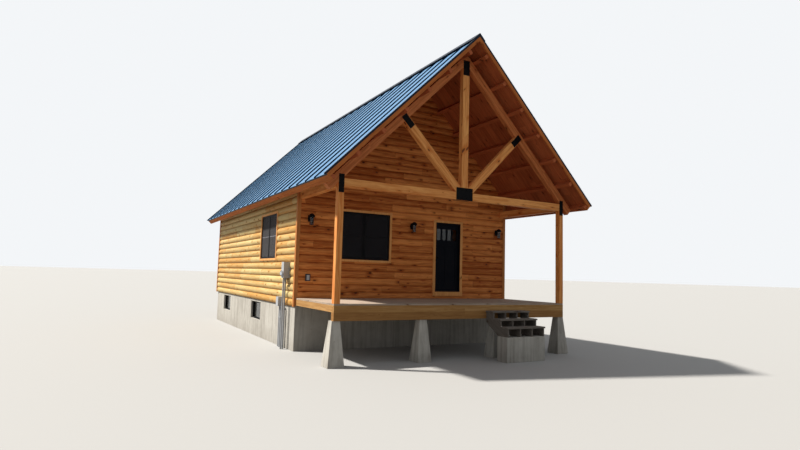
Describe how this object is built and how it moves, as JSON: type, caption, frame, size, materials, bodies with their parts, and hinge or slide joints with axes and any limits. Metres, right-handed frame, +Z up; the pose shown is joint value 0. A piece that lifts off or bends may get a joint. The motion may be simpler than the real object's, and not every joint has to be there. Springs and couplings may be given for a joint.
{
  "type": "log cabin with a timber truss porch",
  "caption": "Gabled log-sided cabin with a metal roof, an open front porch under a king-post truss, twin sash windows and a front door that swings.",
  "frame": {"origin": "on the underside of the front foundation wall, at the middle of its width", "axes": "+X to the right along the front, +Y from the front to the back, +Z up"},
  "size_m": [7.9524, 13.608, 8.094],
  "materials": {
    "concrete": "matte cast concrete",
    "porch_framing": "brown stained timber",
    "deck_boards": "weathered boards",
    "step_boards": "weathered grey boards",
    "floor_boards": "plain boards",
    "truss_timber": "honey stained timber",
    "plate_steel": "matte black",
    "roof_timber": "red-brown stained timber",
    "roof_edge_boards": "red-brown stain",
    "roof_metal": "slate blue satin paint",
    "roof_trim": "dark satin paint",
    "pine_trim": "light stained pine",
    "porch_logs": "orange-brown stained logs",
    "outer_logs": "golden stained logs",
    "window_black": "satin black",
    "door_black": "satin black",
    "black_fittings": "satin black",
    "window_glass": "clear glass before dark rooms",
    "lantern_glass": "clear glass",
    "grey_boxes": "light grey enamel"
  },
  "bodies": {
    "cabin": {"back_wall": "outer_logs", "cabin_floor": "floor_boards", "concrete_piers": "concrete", "corner_boards": "pine_trim", "door_bay_wall": "porch_logs", "door_casing": "pine_trim", "door_frame": "door_black", "fascia_boards": "roof_edge_boards", "floor_joists": "floor_boards", "foundation_end_walls": "concrete", "foundation_side_walls": "concrete", "frame_hinges": "black_fittings", "front_gable": "porch_logs", "front_wall_left": "porch_logs", "front_wall_right": "porch_logs", "king_post": "truss_timber", "lantern_glass": "lantern_glass", "left_wall": "outer_logs", "porch_beam": "porch_framing", "porch_deck": "deck_boards", "porch_joists": "porch_framing", "porch_posts": "truss_timber", "porch_rims": "porch_framing", "purlins": "roof_timber", "rafters": "truss_timber", "rake_boards": "roof_edge_boards", "rake_trims": "roof_trim", "ridge_cap": "roof_trim", "right_wall": "outer_logs", "roof_boards": "roof_timber", "roof_metal": "roof_metal", "service_boxes": "grey_boxes", "side_beams": "truss_timber", "step_stringers": "step_boards", "step_treads": "step_boards", "struts": "truss_timber", "tie_beams": "truss_timber", "truss_plates": "plate_steel", "wall_lanterns": "black_fittings", "window_casings": "pine_trim", "window_frames": "window_black", "window_glass": "window_glass", "window_sashes": "window_black"},
    "door": {"door_leaf": "door_black", "door_glass": "window_glass", "door_fittings": "black_fittings"}
  },
  "joints": [
    {"name": "front_door", "type": "hinge", "parent": "cabin", "child": "door", "pos_m": [1.6925, -0.039, 2.59], "axis": [0, 0, -1], "range_deg": [0, 100]}
  ]
}
